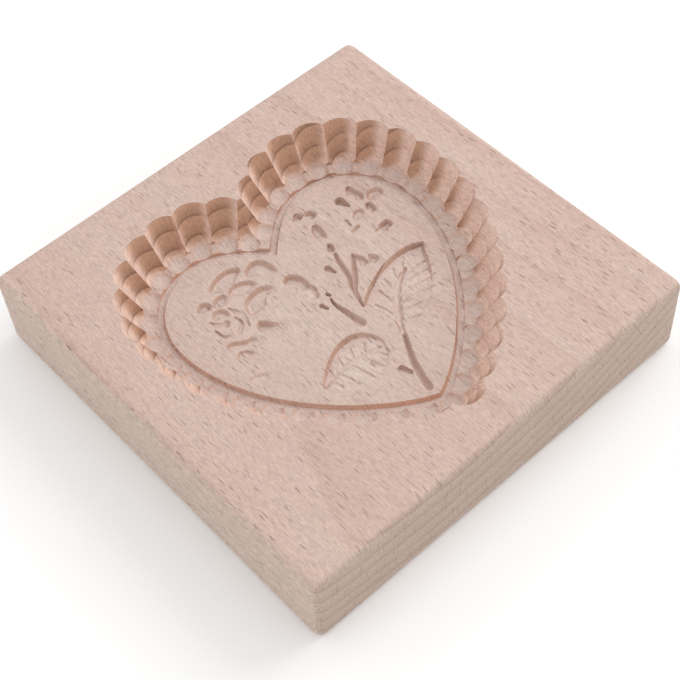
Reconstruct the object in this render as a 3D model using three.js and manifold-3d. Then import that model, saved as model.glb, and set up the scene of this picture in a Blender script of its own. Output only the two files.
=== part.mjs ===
// Carved cookie mould: one square board of beech with a fluted heart sunk into its top face. A flat heart
// panel stands in the middle of the recess, inside a narrow trench, and a rose spray is sunk into the panel.
// Millimetres, +Z up. The origin is under the middle of the board, and the heart's tip points towards -Y.

import * as THREE from 'three';
import { mergeVertices } from 'three/addons/utils/BufferGeometryUtils.js';
import { RoundedBoxGeometry } from 'three/addons/geometries/RoundedBoxGeometry.js';
import Module from 'manifold-3d';

const wasm = await Module();
wasm.setup();

// Board
const BOARD_LENGTH = 100;
const BOARD_WIDTH = 100;
const BOARD_THICKNESS = 20;
const EDGE_RADIUS = 2;
const EDGE_SEGMENTS = 5;

// Depths below the board's top face
const PANEL_DEPTH = 8.7;
const TRENCH_DEPTH = 9.8;

// Floor heart, the trench's outer wall. Its right half is three curves: from the cleft to the top of the
// lobe, on to the widest point of the side, and down to the tip. A pull is the length of a curve's handle.
const CLEFT_Y = 21.3;
const CLEFT_ANGLE = 46;
const CLEFT_PULL = 11.4;
const LOBE_X = 16.5;
const LOBE_Y = 30.05;
const LOBE_PULL_IN = 4;
const LOBE_PULL_OUT = 10;
const SIDE_X = 32.75;
const SIDE_Y = 12.5;
const SIDE_PULL_UP = 8.6;
const SIDE_PULL_DOWN = 24;
const TIP_Y = -32.6;
const TIP_ANGLE = 17;
const TIP_PULL = 9.2;

// Rim heart, the line of the flutes' centres at the top face. It follows the floor heart: each lean says
// how much farther out than the floor heart it passes.
const CLEFT_LEAN = 4.4;
const LOBE_LEAN = 3.9;
const SIDE_LEAN = 3;
const SIDE_DROP = 1;
const TIP_LEAN = 4.15;
const RIM_CLEFT_ANGLE = 38.5;
const RIM_CLEFT_PULL = 9.25;
const RIM_LOBE_PULL_IN = 7.35;
const RIM_LOBE_PULL_OUT = 10.15;
const RIM_SIDE_PULL_UP = 14;
const RIM_SIDE_PULL_DOWN = 26;
const RIM_TIP_ANGLE = 19;
const RIM_TIP_PULL = 12.35;

// Flutes: tapered cuts as deep as the trench, with a ball-shaped foot, set at even steps along both hearts
const FLUTES_PER_HALF = 18;
const FLUTE_FOOT_RADIUS = 2.85;
const FLUTE_RIM_RADIUS = 4.55;
const FLUTE_FOOT_OFFSET = 1.1;
const FLUTE_SEGMENTS = 22;
const FOOT_RINGS = 3;

// Trench and panel
const LAND_WIDTH = 2.65;
const TRENCH_WIDTH = 1.75;
const PANEL_DRAFT = 0.43;
const OUTLINE_STEPS = 56;

// Rose spray, measured on the panel
const LEAF_DEPTH = 1.3;
const LEAF_NEAR_DEPTH = 0.25;
const PETAL_DEPTH = 0.9;
const PETAL_STEPS = 5;
const STEM_WIDTH = 1.5;
const TWIG_WIDTH = 0.9;
const GROOVE_SIDES = 10;

// How far a cutting solid runs past the surface that it opens
const OVERCUT = 2;

const TOP_Z = BOARD_THICKNESS;
const PANEL_Z = TOP_Z - PANEL_DEPTH;
const TRENCH_Z = TOP_Z - TRENCH_DEPTH;

const radians = THREE.MathUtils.degToRad;
const at = (x, y) => new THREE.Vector2(x, y);

// Closed three.js geometry to a solid that can be joined and cut, and back again

function solid(geometry) {
  const bare = geometry.clone();
  for (const name of Object.keys(bare.attributes)) {
    if (name !== 'position') bare.deleteAttribute(name);
  }
  const merged = mergeVertices(bare, 1e-4);
  const corners = merged.index.array;
  const faces = [];
  for (let i = 0; i < corners.length; i += 3) {
    const [a, b, c] = corners.slice(i, i + 3);
    if (a !== b && b !== c && c !== a) faces.push(a, b, c);
  }
  return new wasm.Manifold(new wasm.Mesh({
    numProp: 3,
    vertProperties: new Float32Array(merged.attributes.position.array),
    triVerts: new Uint32Array(faces),
  }));
}

function geometryOf(manifold) {
  const mesh = manifold.getMesh();
  const geometry = new THREE.BufferGeometry();
  geometry.setAttribute('position', new THREE.BufferAttribute(mesh.vertProperties, 3));
  geometry.setIndex(new THREE.BufferAttribute(mesh.triVerts, 1));
  geometry.computeVertexNormals();
  return geometry;
}

const joined = (solids) => solids.reduce((sum, next) => sum.add(next));

// Heart outlines

function heartHalf(heart) {
  const cleft = at(0, heart.cleftY);
  const lobe = at(LOBE_X, heart.lobeY);
  const side = at(heart.sideX, heart.sideY);
  const tip = at(0, heart.tipY);
  const leaving = at(heart.cleftPull, 0).rotateAround(at(0, 0), radians(heart.cleftAngle));
  const arriving = at(heart.tipPull, 0).rotateAround(at(0, 0), radians(heart.tipAngle));
  const half = new THREE.CurvePath();
  half.add(new THREE.CubicBezierCurve(
    cleft, cleft.clone().add(leaving), at(LOBE_X - heart.lobePullIn, heart.lobeY), lobe));
  half.add(new THREE.CubicBezierCurve(
    lobe, at(LOBE_X + heart.lobePullOut, heart.lobeY), at(heart.sideX, heart.sideY + heart.sidePullUp), side));
  half.add(new THREE.CubicBezierCurve(
    side, at(heart.sideX, heart.sideY - heart.sidePullDown), tip.clone().add(arriving), tip));
  return half;
}

// Where the line through two points meets the heart's axis
function crossAxis(before, last) {
  const share = last.x / (before.x - last.x);
  return at(0, last.y - (before.y - last.y) * share);
}

// The half outline moved outwards, or inwards where the distance is below zero, and taken to the axis
function offsetHalf(half, distance) {
  const moved = half.map((point, i) => {
    const before = half[Math.max(i - 1, 0)];
    const after = half[Math.min(i + 1, half.length - 1)];
    const along = after.clone().sub(before).normalize();
    return at(point.x - along.y * distance, point.y + along.x * distance);
  });
  const nearAxis = 0.2;
  const kept = moved.filter((point) => point.x > nearAxis);
  const cleft = crossAxis(kept[1], kept[0]);
  const tip = crossAxis(kept.at(-2), kept.at(-1));
  return new THREE.Path([cleft, ...kept, tip]).getSpacedPoints(OUTLINE_STEPS);
}

// Right half from cleft to tip, then its mirror image back to the cleft, turned to run anticlockwise
function wholeHeart(half) {
  const mirrored = half.slice(1, -1).reverse().map((point) => at(-point.x, point.y));
  return [...half, ...mirrored].reverse();
}

const floorHalf = heartHalf({
  cleftY: CLEFT_Y,
  cleftAngle: CLEFT_ANGLE,
  cleftPull: CLEFT_PULL,
  lobeY: LOBE_Y,
  lobePullIn: LOBE_PULL_IN,
  lobePullOut: LOBE_PULL_OUT,
  sideX: SIDE_X,
  sideY: SIDE_Y,
  sidePullUp: SIDE_PULL_UP,
  sidePullDown: SIDE_PULL_DOWN,
  tipY: TIP_Y,
  tipAngle: TIP_ANGLE,
  tipPull: TIP_PULL,
}).getSpacedPoints(OUTLINE_STEPS * 2);

const rimHalf = heartHalf({
  cleftY: CLEFT_Y + CLEFT_LEAN,
  cleftAngle: RIM_CLEFT_ANGLE,
  cleftPull: RIM_CLEFT_PULL,
  lobeY: LOBE_Y + LOBE_LEAN,
  lobePullIn: RIM_LOBE_PULL_IN,
  lobePullOut: RIM_LOBE_PULL_OUT,
  sideX: SIDE_X + SIDE_LEAN,
  sideY: SIDE_Y - SIDE_DROP,
  sidePullUp: RIM_SIDE_PULL_UP,
  sidePullDown: RIM_SIDE_PULL_DOWN,
  tipY: TIP_Y - TIP_LEAN,
  tipAngle: RIM_TIP_ANGLE,
  tipPull: RIM_TIP_PULL,
});

// A solid between two level outlines with the same number of points, running anticlockwise
function loft(lower, lowerZ, upper, upperZ) {
  const count = lower.length;
  const positions = [];
  for (const point of lower) positions.push(point.x, point.y, lowerZ);
  for (const point of upper) positions.push(point.x, point.y, upperZ);
  const faces = [];
  for (let i = 0; i < count; i++) {
    const next = (i + 1) % count;
    faces.push(i, next, count + next);
    faces.push(i, count + next, count + i);
  }
  for (const [a, b, c] of THREE.ShapeUtils.triangulateShape(lower, [])) faces.push(a, c, b);
  for (const [a, b, c] of THREE.ShapeUtils.triangulateShape(upper, [])) {
    faces.push(count + a, count + b, count + c);
  }
  const geometry = new THREE.BufferGeometry();
  geometry.setAttribute('position', new THREE.Float32BufferAttribute(positions, 3));
  geometry.setIndex(faces);
  return solid(geometry);
}

function prism(outline, lowerZ, upperZ) {
  return loft(outline, lowerZ, outline, upperZ);
}

// Recess

// A cone on a round foot that leans from its foot to its place at the rim, with level circles all the way up
function flute(foot, rim) {
  const coneHeight = TRENCH_DEPTH - FLUTE_FOOT_RADIUS;
  const widening = (FLUTE_RIM_RADIUS - FLUTE_FOOT_RADIUS) / coneHeight;
  const round = new THREE.EllipseCurve(
    0, FLUTE_FOOT_RADIUS, FLUTE_FOOT_RADIUS, FLUTE_FOOT_RADIUS, -Math.PI / 2, 0);
  const section = round.getPoints(FOOT_RINGS);
  section.push(at(FLUTE_RIM_RADIUS + widening * OVERCUT, TRENCH_DEPTH + OVERCUT), at(0, TRENCH_DEPTH + OVERCUT));
  const turned = new THREE.LatheGeometry(section, FLUTE_SEGMENTS);
  turned.rotateX(Math.PI / 2);
  const lean = rim.clone().sub(foot).divideScalar(TRENCH_DEPTH);
  turned.applyMatrix4(new THREE.Matrix4().makeShear(0, 0, 0, 0, lean.x, lean.y));
  turned.translate(foot.x, foot.y, TRENCH_Z);
  return solid(turned);
}

function flutes() {
  const feet = new THREE.Path(offsetHalf(floorHalf, FLUTE_FOOT_OFFSET)).getSpacedPoints(FLUTES_PER_HALF);
  const rims = rimHalf.getSpacedPoints(FLUTES_PER_HALF);
  const solids = [];
  for (let i = 0; i <= FLUTES_PER_HALF; i++) {
    const onAxis = i === 0 || i === FLUTES_PER_HALF;
    for (const side of onAxis ? [1] : [1, -1]) {
      solids.push(flute(at(feet[i].x * side, feet[i].y), at(rims[i].x * side, rims[i].y)));
    }
  }
  return joined(solids);
}

function recess() {
  const pocket = prism(wholeHeart(offsetHalf(floorHalf, LAND_WIDTH)), PANEL_Z, TOP_Z + OVERCUT);
  const bed = prism(wholeHeart(offsetHalf(floorHalf, 0)), TRENCH_Z, PANEL_Z + OVERCUT);
  const panelTop = wholeHeart(offsetHalf(floorHalf, -TRENCH_WIDTH));
  const panelFoot = wholeHeart(offsetHalf(floorHalf, PANEL_DRAFT - TRENCH_WIDTH));
  const panel = loft(panelFoot, TRENCH_Z, panelTop, PANEL_Z).add(
    prism(panelFoot, TRENCH_Z - OVERCUT, TRENCH_Z));
  return pocket.add(flutes()).add(bed.subtract(panel));
}

// Rose spray

// A sunk blade: its outline is cut straight down to a floor that is deep under the far wall and climbs
// almost to the panel's face at the near side
function blade(depth, shape, far, near) {
  const outline = new THREE.ExtrudeGeometry(
    shape, { depth: depth + OVERCUT, bevelEnabled: false, curveSegments: OUTLINE_STEPS / 4 });
  outline.translate(0, 0, PANEL_Z - depth);
  const tilt = Math.atan2(depth - LEAF_NEAR_DEPTH, far.distanceTo(near));
  const above = new THREE.BoxGeometry(BOARD_LENGTH, BOARD_WIDTH, BOARD_THICKNESS);
  above.translate(0, 0, BOARD_THICKNESS / 2);
  above.rotateY(-tilt);
  above.rotateZ(Math.atan2(near.y - far.y, near.x - far.x));
  above.translate(far.x, far.y, PANEL_Z - depth);
  return solid(outline).intersect(solid(above));
}

function leaf(curves, far, near) {
  const shape = new THREE.Shape().moveTo(curves[0][0].x, curves[0][0].y);
  for (const [, leave, arrive, end] of curves) {
    shape.bezierCurveTo(leave.x, leave.y, arrive.x, arrive.y, end.x, end.y);
  }
  return blade(LEAF_DEPTH, shape, far, near);
}

// A crescent from one horn to the other: round the far side through one handle, and back through the other
function petal(start, farHandle, end, nearHandle) {
  const farSide = new THREE.QuadraticBezierCurve(start, farHandle, end);
  const nearSide = new THREE.QuadraticBezierCurve(end, nearHandle, start);
  const back = nearSide.getPoints(PETAL_STEPS).slice(1, -1);
  const shape = new THREE.Shape([...farSide.getPoints(PETAL_STEPS), ...back]);
  return blade(PETAL_DEPTH, shape, farSide.getPoint(0.5), nearSide.getPoint(0.5));
}

// A round-bottomed groove of even width along a smooth line on the panel
function groove(width, points) {
  const path = new THREE.CatmullRomCurve3(points.map((point) => new THREE.Vector3(point.x, point.y, PANEL_Z)));
  const section = new THREE.Shape().absarc(0, 0, width / 2, 0, Math.PI * 2);
  const steps = Math.ceil(path.getLength() / STEM_WIDTH);
  return solid(new THREE.ExtrudeGeometry(
    section, { extrudePath: path, steps, curveSegments: GROOVE_SIDES }));
}

function spray() {
  const stemFoot = at(-0.4, -28.3);
  const leafFoot = at(5, -15.4);
  const leafCorner = at(4, -4);
  const leafTip = at(25.2, -0.4);
  const largeLeaf = leaf([
    [leafFoot, at(6, -11), at(5.5, -6), leafCorner],
    [leafCorner, at(8, 0), at(20, 4.2), leafTip],
    [leafTip, at(21.5, -4.5), at(20.5, -14.5), leafFoot],
  ], at(15, 1.2), at(17, -11.5));
  const smallTip = at(-16, -13.5);
  const smallEnd = at(1.2, -13);
  const smallLeaf = leaf([
    [smallTip, at(-11, -8), at(-1, -3.5), smallEnd],
    [smallEnd, at(0, -22.5), at(-14.5, -22), smallTip],
  ], at(-5, -7.6), at(-8, -20));
  const rose = [
    petal(at(-16.8, 21.6), at(-13, 24), at(-8.6, 21.2), at(-12.6, 20.3)),
    petal(at(-22.4, 18.9), at(-19.6, 22), at(-19, 17), at(-20.8, 17.6)),
    petal(at(-18.8, 17.4), at(-12, 21.6), at(-8, 15.4), at(-12.4, 15.6)),
    petal(at(-7, 19.6), at(-3.2, 23.4), at(-2.8, 15.2), at(-5.4, 16.6)),
    petal(at(-4.4, 12), at(0.2, 14.6), at(-0.8, 8.2), at(-3.2, 9)),
    petal(at(-14.6, 10.2), at(-11.2, 18.2), at(-6, 12), at(-10.6, 10.6)),
    petal(at(-15.6, 6.8), at(-14, 9.6), at(-9.8, 3.8), at(-13.4, 3.4)),
    petal(at(-23.6, 7.4), at(-20.6, 8.8), at(-17.4, 6), at(-21, 5)),
    petal(at(-21.4, 13.2), at(-19.2, 18.6), at(-17.2, 12.4), at(-19.4, 13.6)),
  ];
  const buds = [
    petal(at(9.2, 23.2), at(11, 26.4), at(13.6, 20.8), at(11, 20.8)),
    petal(at(8.8, 17), at(11.6, 22.2), at(11.8, 15.2), at(10.6, 16)),
    petal(at(18.2, 20), at(20.6, 23.4), at(20.8, 18.2), at(19, 18)),
    petal(at(22, 20.8), at(24.4, 24.4), at(25.2, 18.8), at(23, 18.8)),
    petal(at(24.6, 17.4), at(26.6, 20), at(28.6, 17), at(26.4, 16.2)),
  ];
  const stem = groove(STEM_WIDTH, [stemFoot, at(0.3, -25.5), at(1.5, -22), at(3, -19), leafFoot]);
  const twigs = [
    groove(TWIG_WIDTH, [leafCorner, at(5.5, 0.5), at(7, 4.5), at(8, 8.5), at(9, 10)]),
    groove(TWIG_WIDTH, [at(5.3, 0.3), at(7, 2), at(9, 4.5), at(11.8, 7.4)]),
    groove(TWIG_WIDTH, [at(0.4, 2.6), at(0, 0), at(0.3, -3), at(0.8, -7)]),
  ];
  return joined([largeLeaf, smallLeaf, ...rose, ...buds, stem, ...twigs]);
}

function mouldBlock() {
  const board = new RoundedBoxGeometry(
    BOARD_LENGTH, BOARD_WIDTH, BOARD_THICKNESS, EDGE_SEGMENTS, EDGE_RADIUS);
  board.translate(0, 0, BOARD_THICKNESS / 2);
  return solid(board).subtract(recess()).subtract(spray());
}

const beech = new THREE.MeshStandardMaterial({ color: 0xdcc0ae, roughness: 0.72, metalness: 0 });
const block = new THREE.Mesh(geometryOf(mouldBlock()), beech);
block.name = 'mould_block';

const mould = new THREE.Group();
mould.add(block);

export default mould;
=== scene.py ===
# %% [markdown]
# # A carved cookie mould in beech
#
# The object is one square board of pale beech. A heart is sunk into its top face: tapered flutes run
# round the heart's wall, a narrow trench runs round its floor, and a rose spray is carved into the
# heart-shaped panel in the middle. There is only one piece of wood, so this lesson models one piece and
# spends its care on the carving and on the grain.
#
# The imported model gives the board's place and size. The carved piece made here stands for it.

# %% Load the frame and measure the board
import math

import bmesh
import bpy
import numpy as np
from mathutils import Matrix, Vector


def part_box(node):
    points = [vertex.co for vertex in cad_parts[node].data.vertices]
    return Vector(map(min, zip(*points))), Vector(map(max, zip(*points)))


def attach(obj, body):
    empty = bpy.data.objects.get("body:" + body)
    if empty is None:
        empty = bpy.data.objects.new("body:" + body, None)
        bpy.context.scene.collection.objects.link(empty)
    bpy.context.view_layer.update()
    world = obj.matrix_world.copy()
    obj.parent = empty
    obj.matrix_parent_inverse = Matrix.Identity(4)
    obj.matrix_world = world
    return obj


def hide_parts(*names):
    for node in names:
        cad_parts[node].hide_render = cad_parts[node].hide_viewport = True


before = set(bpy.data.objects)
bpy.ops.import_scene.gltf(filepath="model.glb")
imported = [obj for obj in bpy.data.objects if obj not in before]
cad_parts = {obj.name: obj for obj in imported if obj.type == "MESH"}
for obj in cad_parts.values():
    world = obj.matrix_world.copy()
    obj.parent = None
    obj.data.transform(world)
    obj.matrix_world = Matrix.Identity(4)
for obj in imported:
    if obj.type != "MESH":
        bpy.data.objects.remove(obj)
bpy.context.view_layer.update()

MM = 0.001
board_low, board_high = (Vector(corner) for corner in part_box("mould_block"))
board_size = board_high - board_low
top_z = board_high.z
print("board, mm:", [round(length / MM, 2) for length in board_size])

# %% [markdown]
# ## Camera
#
# The photograph looks down at the board from the front left, from well above it. A long lens keeps the
# board's edges almost parallel. The camera is placed by its direction and distance from the middle of the
# underside, then rolled a few degrees, because the board sits slightly turned in the picture.

# %% Camera
CAMERA_AZIMUTH = math.radians(-38.42)
CAMERA_ELEVATION = math.radians(53.71)
CAMERA_ROLL = math.radians(-4.74)
CAMERA_DISTANCE = 325.36 * MM
CAMERA_SIDE_STEP = 0.296 * MM
CAMERA_RISE = -0.645 * MM
LENS = 80.4
SENSOR_WIDTH = 36
NEAREST_SEEN = 10 * MM


def direction(azimuth, elevation):
    level = math.cos(elevation)
    return Vector((math.sin(azimuth) * level, -math.cos(azimuth) * level, math.sin(elevation)))


def placed(name, data):
    thing = bpy.data.objects.new(name, data)
    bpy.context.collection.objects.link(thing)
    return thing


backward = direction(CAMERA_AZIMUTH, CAMERA_ELEVATION)
flat_right = Vector((math.cos(CAMERA_AZIMUTH), math.sin(CAMERA_AZIMUTH), 0))
right = Matrix.Rotation(CAMERA_ROLL, 3, backward) @ flat_right
upward = backward.cross(right)

camera_data = bpy.data.cameras.new("camera")
camera_data.lens = LENS
camera_data.sensor_width = SENSOR_WIDTH
camera_data.clip_start = NEAREST_SEEN
camera = placed("camera", camera_data)
camera.matrix_world = Matrix.Translation(
    backward * CAMERA_DISTANCE + right * CAMERA_SIDE_STEP + upward * CAMERA_RISE
) @ Matrix((right, upward, backward)).transposed().to_4x4()
bpy.context.scene.camera = camera
print("camera, mm:", [round(place / MM, 1) for place in camera.location])

# %% [markdown]
# ## Floor and light
#
# The picture was taken in very soft light on a white ground. A large floor of matte white stands for the
# ground. It lies a hair below the board, so that two faces never share one place.

# %% Floor
FLOOR_HALF_SIDE = 3
FLOOR_GAP = 0.05 * MM


def new_material(name):
    material = bpy.data.materials.new(name)
    material.use_nodes = True
    return material, material.node_tree.nodes["Principled BSDF"].inputs


def as_object(name, mesh):
    data = bpy.data.meshes.new(name)
    mesh.to_mesh(data)
    mesh.free()
    return placed(name, data)


floor_mesh = bmesh.new()
bmesh.ops.create_grid(floor_mesh, x_segments=1, y_segments=1, size=FLOOR_HALF_SIDE)
bmesh.ops.translate(floor_mesh, vec=(0, 0, board_low.z - FLOOR_GAP), verts=floor_mesh.verts)
floor = as_object("floor", floor_mesh)
white_ground, ground_inputs = new_material("white_ground")
ground_inputs["Base Color"].default_value = (0.93, 0.93, 0.93, 1)
ground_inputs["Roughness"].default_value = 0.9
floor.data.materials.append(white_ground)
print("floor, m:", 2 * FLOOR_HALF_SIDE)

# %% [markdown]
# One big soft lamp behind and to the right makes the walls that face the camera a little darker than
# the top, and bright surroundings fill the rest. The plain view transform shows the colours as they
# were mixed.

# %% Light
SURROUNDINGS_STRENGTH = 0.98


def soft_lamp(name, azimuth, elevation, distance, size, power, colour):
    lamp = bpy.data.lights.new(name, "AREA")
    lamp.shape = "DISK"
    lamp.size = size
    lamp.energy = power
    lamp.color = colour
    holder = placed(name, lamp)
    out = direction(azimuth, elevation)
    holder.location = out * distance
    holder.rotation_euler = out.to_track_quat("Z", "Y").to_euler()


soft_lamp(
    "window", azimuth=math.radians(84), elevation=math.radians(42), distance=1.2, size=0.8, power=4.5,
    colour=(1.0, 0.99, 0.97))

world = bpy.data.worlds.new("soft_surroundings")
bpy.context.scene.world = world
world.use_nodes = True
world.node_tree.nodes["Background"].inputs["Color"].default_value = (1, 1, 1, 1)
world.node_tree.nodes["Background"].inputs["Strength"].default_value = SURROUNDINGS_STRENGTH
bpy.context.scene.view_settings.view_transform = "Standard"
print("surroundings:", SURROUNDINGS_STRENGTH)

# %% [markdown]
# ## The heart's outline
#
# A symmetrical heart needs only its right half. Three Bezier curves draw it: from the cleft to the top
# of the lobe, on to the widest point, and down to the tip. Everything on the floor of the recess
# follows this line: the trench's outer wall lies on it, and the panel's edge, the flutes' feet and the
# pocket are set off from it. The flutes lean out from there to a second, larger heart at the rim.
# Lengths are in millimetres.

# %% Heart curves
CURVE_POINTS = 200


def bezier(start, leave, arrive, end, count):
    share = np.linspace(0, 1, count)[:, None]
    rest = 1 - share
    return (
        rest**3 * np.array(start)
        + 3 * rest**2 * share * np.array(leave)
        + 3 * rest * share**2 * np.array(arrive)
        + share**3 * np.array(end)
    )


def spaced(line, count):
    steps = np.hypot(*np.diff(line, axis=0).T)
    travelled = np.concatenate([[0], np.cumsum(steps)])
    wanted = np.linspace(0, travelled[-1], count)
    return np.column_stack([np.interp(wanted, travelled, line[:, axis]) for axis in (0, 1)])


def heart_half(
        cleft, cleft_angle, cleft_pull, lobe, lobe_pulls, side, side_pulls, tip, tip_angle, tip_pull):
    leaving = (cleft_pull * math.cos(cleft_angle), cleft + cleft_pull * math.sin(cleft_angle))
    arriving = (tip_pull * math.cos(tip_angle), tip + tip_pull * math.sin(tip_angle))
    return np.vstack([
        bezier((0, cleft), leaving, (lobe[0] - lobe_pulls[0], lobe[1]), lobe, CURVE_POINTS),
        bezier(
            lobe, (lobe[0] + lobe_pulls[1], lobe[1]), (side[0], side[1] + side_pulls[0]), side,
            CURVE_POINTS)[1:],
        bezier(side, (side[0], side[1] - side_pulls[1]), arriving, (0, tip), CURVE_POINTS)[1:],
    ])


floor_heart = heart_half(
    cleft=21.3, cleft_angle=math.radians(46), cleft_pull=11.4,
    lobe=(16.5, 30.05), lobe_pulls=(4, 10),
    side=(32.75, 12.5), side_pulls=(8.6, 24),
    tip=-32.6, tip_angle=math.radians(17), tip_pull=9.2)
rim_heart = heart_half(
    cleft=25.7, cleft_angle=math.radians(38.5), cleft_pull=9.25,
    lobe=(16.5, 33.95), lobe_pulls=(7.35, 10.15),
    side=(35.75, 11.5), side_pulls=(14, 26),
    tip=-36.75, tip_angle=math.radians(19), tip_pull=12.35)
print("widest, mm: floor heart", 2 * round(floor_heart[:, 0].max(), 2),
      "rim heart", 2 * round(rim_heart[:, 0].max(), 2))

# %% [markdown]
# A line beside the heart has each point moved straight outwards, or inwards where the distance is
# negative. The moved half then misses the axis by a little, so its two ends are drawn on until they
# meet it. The other half is its mirror image.

# %% Lines set off from the heart
EVEN_POINTS = 400
OUTLINE_POINTS = 120
AXIS_GAP = 0.2


def set_off(half, distance, count=OUTLINE_POINTS):
    half = spaced(half, EVEN_POINTS)
    along = np.gradient(half, axis=0)
    along /= np.linalg.norm(along, axis=1)[:, None]
    moved = half + distance * np.column_stack([-along[:, 1], along[:, 0]])
    kept = moved[moved[:, 0] > AXIS_GAP]

    def on_axis(before, last):
        return last - (before - last) * last[0] / (before[0] - last[0])

    whole = np.vstack([on_axis(kept[1], kept[0]), kept, on_axis(kept[-2], kept[-1])])
    return spaced(whole, count)


def whole_outline(half):
    mirrored = half[-2:0:-1] * (-1, 1)
    return np.vstack([half, mirrored])[::-1]


print("points in one outline:", len(whole_outline(set_off(floor_heart, 0))))

# %% [markdown]
# ## The board
#
# The blank is planed and its edges are rounded over with a small radius. A cube from the operator is
# scaled to the board's size, and one bevel of all its edges gives the rounding.

# %% Rounded board
EDGE_RADIUS = 2.0 * MM
EDGE_STEPS = 8


def rounded_board():
    mesh = bmesh.new()
    bmesh.ops.create_cube(mesh, size=1)
    bmesh.ops.scale(mesh, vec=board_size, verts=mesh.verts)
    bmesh.ops.translate(mesh, vec=(board_low + board_high) / 2, verts=mesh.verts)
    bmesh.ops.bevel(
        mesh, geom=mesh.edges[:], offset=EDGE_RADIUS, segments=EDGE_STEPS, profile=0.5,
        affect="EDGES", material=-1)
    return mesh


print("edge rounding, mm:", round(EDGE_RADIUS / MM, 2))

# %% [markdown]
# ## Cutters
#
# Each part of the recess is a cutting shape, as a router bit is. The flutes and the pocket stand a little
# above the board, so that they cut clean through its face. Three lengths rule them all: the depth of the
# panel, the depth of the trench, and how far those cutters pass the face.

# %% Depths
PANEL_DEPTH = 8.7
TRENCH_DEPTH = 9.8
OVERCUT = 2.0 * MM
panel_z = top_z - PANEL_DEPTH * MM
trench_z = top_z - TRENCH_DEPTH * MM
print("above the base, mm: panel", round(panel_z / MM, 2), "trench", round(trench_z / MM, 2))

# %% [markdown]
# ### Flutes
#
# A flute is cut by a ball-nosed bit that widens upwards and leans straight outwards. Half of the bit's
# outline is spun round its axis, and a shear leans it from its foot beside the trench to its rim on the
# larger heart. Neighbouring flutes meet in a ridge that runs down to the floor.

# %% One flute cutter
FOOT_RADIUS = 3.3
RIM_RADIUS = 4.55
BALL_POINTS = 13
FLUTE_STEPS = 96
POLE_MERGE = 0.0005 * MM
FOOT_CLEARANCE = 0.06 * MM
foot_z = trench_z + FOOT_CLEARANCE


def flute_profile(depth):
    turns = np.linspace(0, math.pi / 2, BALL_POINTS)
    ball = [(FOOT_RADIUS * math.sin(turn), FOOT_RADIUS * (1 - math.cos(turn))) for turn in turns]
    widening = (RIM_RADIUS - FOOT_RADIUS) / (depth - FOOT_RADIUS)
    top = depth + OVERCUT / MM
    return [*ball, (RIM_RADIUS + widening * OVERCUT / MM, top), (0, top)]


def flute_cutter(foot, rim):
    depth = (top_z - foot_z) / MM
    mesh = bmesh.new()
    verts = [mesh.verts.new((radius * MM, 0, height * MM)) for radius, height in flute_profile(depth)]
    edges = [mesh.edges.new(pair) for pair in zip(verts, verts[1:])]
    bmesh.ops.spin(
        mesh, geom=verts + edges, axis=(0, 0, 1), cent=(0, 0, 0), angle=2 * math.pi, steps=FLUTE_STEPS,
        use_merge=True)
    bmesh.ops.remove_doubles(mesh, verts=mesh.verts, dist=POLE_MERGE)
    bmesh.ops.recalc_face_normals(mesh, faces=mesh.faces)
    lean = (rim - foot) / depth
    shear = Matrix(((1, 0, lean[0], 0), (0, 1, lean[1], 0), (0, 0, 1, 0), (0, 0, 0, 1)))
    bmesh.ops.transform(mesh, matrix=shear, verts=mesh.verts)
    bmesh.ops.translate(mesh, vec=(foot[0] * MM, foot[1] * MM, foot_z), verts=mesh.verts)
    return mesh


print("flute foot above the trench, mm:", round(FOOT_CLEARANCE / MM, 2))

# %% [markdown]
# The rims are spaced evenly round the larger heart, and each foot is the nearest place beside the trench.
# The flute in the cleft is cut twice, with a foot on either side, which leaves a short ridge between the
# feet, where the two lobes meet.

# %% All flute cutters
FLUTES_PER_HALF = 18
FOOT_OFFSET = 1.1
FOOT_LINE_POINTS = 1600
CLEFT_FOOT = 0.57


def nearest_place(line, place):
    return line[np.argmin(np.hypot(*(line - place).T))]


def flute_cutters():
    foot_line = set_off(floor_heart, FOOT_OFFSET, FOOT_LINE_POINTS)
    rims = spaced(rim_heart, FLUTES_PER_HALF + 1)
    feet = [nearest_place(foot_line, rim) for rim in rims]
    feet[0] = foot_line[round(CLEFT_FOOT / FLUTES_PER_HALF * len(foot_line))]
    cutters = [flute_cutter(foot, rim) for foot, rim in zip(feet, rims)]
    other_side = np.array((-1, 1))
    for foot, rim in list(zip(feet, rims))[:-1]:
        cutters.append(flute_cutter(foot * other_side, rim * other_side))
    return cutters


print("flutes round the heart:", 2 * FLUTES_PER_HALF)

# %% [markdown]
# ### Trench and pocket
#
# The trench is a flat ring between two outlines, bridged and then drawn upwards past the panel's face.
# It widens inwards as it rises, which gives the panel's wall a draft, so that the biscuit comes away.

# %% Trench cutter
TRENCH_WIDTH = 1.75
PANEL_DRAFT = 0.43
TRENCH_REACH = 1.6
PLACE_DIGITS = 4


# Lifted points come back in an order of their own, so each is matched by its rounded place.
def place_key(x, y):
    return round(x, PLACE_DIGITS), round(y, PLACE_DIGITS)


def points_of(extrusion):
    return [item for item in extrusion["geom"] if isinstance(item, bmesh.types.BMVert)]


def outline_loop(mesh, outline, z):
    verts = [mesh.verts.new((x * MM, y * MM, z)) for x, y in outline]
    return verts, [mesh.edges.new((a, b)) for a, b in zip(verts, verts[1:] + verts[:1])]


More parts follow.
